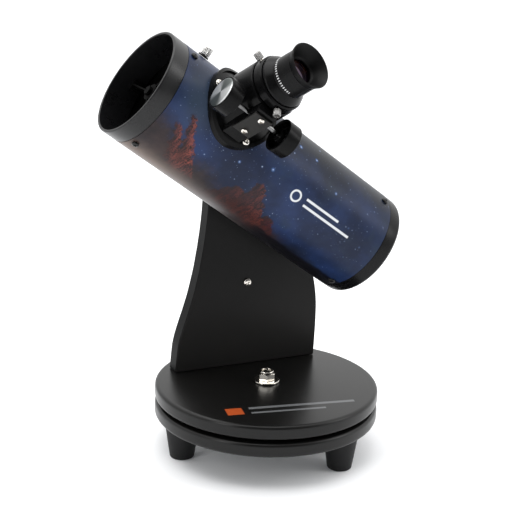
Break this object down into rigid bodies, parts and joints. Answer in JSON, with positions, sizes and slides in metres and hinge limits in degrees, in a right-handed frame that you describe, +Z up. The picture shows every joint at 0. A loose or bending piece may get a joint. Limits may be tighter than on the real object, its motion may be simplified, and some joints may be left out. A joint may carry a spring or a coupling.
{
  "type": "tabletop dobsonian telescope",
  "caption": "Short reflector telescope on a single-arm turntable mount; the tube tilts, the base turns, and a rack-and-pinion focuser holds an eyepiece.",
  "frame": {"origin": "centre of the bounding box at the feet's ground plane", "axes": "+Z up; the open end of the tube points toward -X and up at rest; the arm stands on the +Y side of the tube and the focuser leans toward -Y; +X is the mirror end"},
  "size_m": [0.2574, 0.2152, 0.3643],
  "materials": {
    "laminate": "black laminate on board, semi-gloss",
    "rubber": "matt black rubber",
    "nickel": "bright nickel plating",
    "black_steel": "blackened steel",
    "black_plastic": "black satin plastic",
    "grey_plastic": "dark grey plastic",
    "printed_skin": "printed night-sky film on rolled metal, satin",
    "silver_cap": "spun silver",
    "mirror": "aluminised glass",
    "glass": "coated glass",
    "glide_plastic": "white low-friction plastic"
  },
  "bodies": {
    "ground": {"ground_board": "laminate", "foot_1": "rubber", "foot_2": "rubber", "foot_3": "rubber", "foot_screw_1": "nickel", "foot_screw_2": "nickel", "foot_screw_3": "nickel", "glide_pad_1": "glide_plastic", "glide_pad_2": "glide_plastic", "glide_pad_3": "glide_plastic", "azimuth_bolt": "nickel", "azimuth_washer": "nickel", "azimuth_nut": "nickel"},
    "turntable": {"turntable": "laminate", "arm": "laminate", "arm_screw_1": "nickel", "arm_screw_2": "nickel", "arm_face_screw": "nickel"},
    "optical_tube": {"tube": "printed_skin", "front_ring": "black_plastic", "ring_screw_1": "black_steel", "ring_screw_2": "black_steel", "ring_screw_3": "black_steel", "rear_cell": "black_plastic", "rear_screw_1": "black_steel", "rear_screw_2": "black_steel", "rear_screw_3": "black_steel", "primary_mirror": "mirror", "spider": "black_plastic", "secondary_holder": "black_plastic", "secondary_mirror": "mirror", "altitude_hub": "black_plastic", "hub_screw_1": "nickel", "hub_screw_2": "nickel", "friction_washer": "glide_plastic", "focuser_body": "black_plastic", "flange_screw_1": "nickel", "flange_screw_2": "nickel", "flange_screw_3": "nickel", "pinion_cover": "grey_plastic", "cover_screw_1": "nickel", "cover_screw_2": "nickel", "finder_post_1": "black_steel", "finder_post_2": "black_steel"},
    "hand_knob": {"tension_knob": "black_plastic", "tension_stud": "nickel"},
    "focus_pinion": {"pinion_shaft": "nickel", "focus_knob_front": "black_plastic", "focus_knob_rear": "black_plastic", "knob_cap_front": "silver_cap", "knob_cap_rear": "silver_cap"},
    "drawtube": {"drawtube": "black_plastic"},
    "thumbscrew_a": {"thumbscrew_1": "nickel"},
    "thumbscrew_b": {"thumbscrew_2": "nickel"},
    "eyepiece": {"eyepiece_body": "black_plastic", "eyecup": "rubber", "eye_lens": "glass", "field_lens": "glass"},
    "finder_nut_a": {"finder_nut_1": "nickel"},
    "finder_nut_b": {"finder_nut_2": "nickel"}
  },
  "joints": [
    {"name": "azimuth_turn", "type": "hinge", "parent": "ground", "child": "turntable", "pos_m": [0.02346, 0.01055, 0.05], "axis": [0, 0, 1], "continuous": true},
    {"name": "altitude_tilt", "type": "hinge", "parent": "turntable", "child": "optical_tube", "pos_m": [0.02346, -0.0016, 0.2354], "axis": [0, 1, 0], "range_deg": [-35.8, 54.1]},
    {"name": "tension_knob_turn", "type": "hinge", "parent": "optical_tube", "child": "hand_knob", "pos_m": [0.02346, 0.07, 0.2354], "axis": [0, 1, 0], "range_deg": [0, 360]},
    {"name": "drawtube_slide", "type": "slide", "parent": "optical_tube", "child": "drawtube", "axis": [0.3718, -0.7727, 0.5144], "range_m": [0, 0.02]},
    {"name": "focus_turn", "type": "hinge", "parent": "optical_tube", "child": "focus_pinion", "pos_m": [-0.03157, -0.07105, 0.30693], "axis": [0.8105, 0, -0.5858], "range_deg": [0, 347.5]},
    {"name": "thumbscrew_a_turn", "type": "hinge", "parent": "drawtube", "child": "thumbscrew_a", "pos_m": [-0.0277, -0.06236, 0.35217], "axis": [-0.53, 0.2782, 0.8011], "range_deg": [0, 360]},
    {"name": "thumbscrew_b_turn", "type": "hinge", "parent": "drawtube", "child": "thumbscrew_b", "pos_m": [-0.02225, -0.0859, 0.31288], "axis": [-0.3203, -0.6269, -0.7102], "range_deg": [0, 360]},
    {"name": "eyepiece_slide", "type": "slide", "parent": "drawtube", "child": "eyepiece", "axis": [0.3718, -0.7727, 0.5144], "range_m": [0, 0.018]},
    {"name": "finder_nut_a_turn", "type": "hinge", "parent": "optical_tube", "child": "finder_nut_a", "pos_m": [-0.04503, -0.00522, 0.34891], "axis": [0.5844, -0.0698, 0.8085], "range_deg": [0, 360]},
    {"name": "finder_nut_b_turn", "type": "hinge", "parent": "optical_tube", "child": "finder_nut_b", "pos_m": [-0.05141, 0.03042, 0.34008], "axis": [0.4616, 0.6157, 0.6386], "range_deg": [0, 360]}
  ],
  "couplings": [
    {"joint": "focus_turn", "follows": "drawtube_slide", "rad_per_m": 303.03}
  ]
}
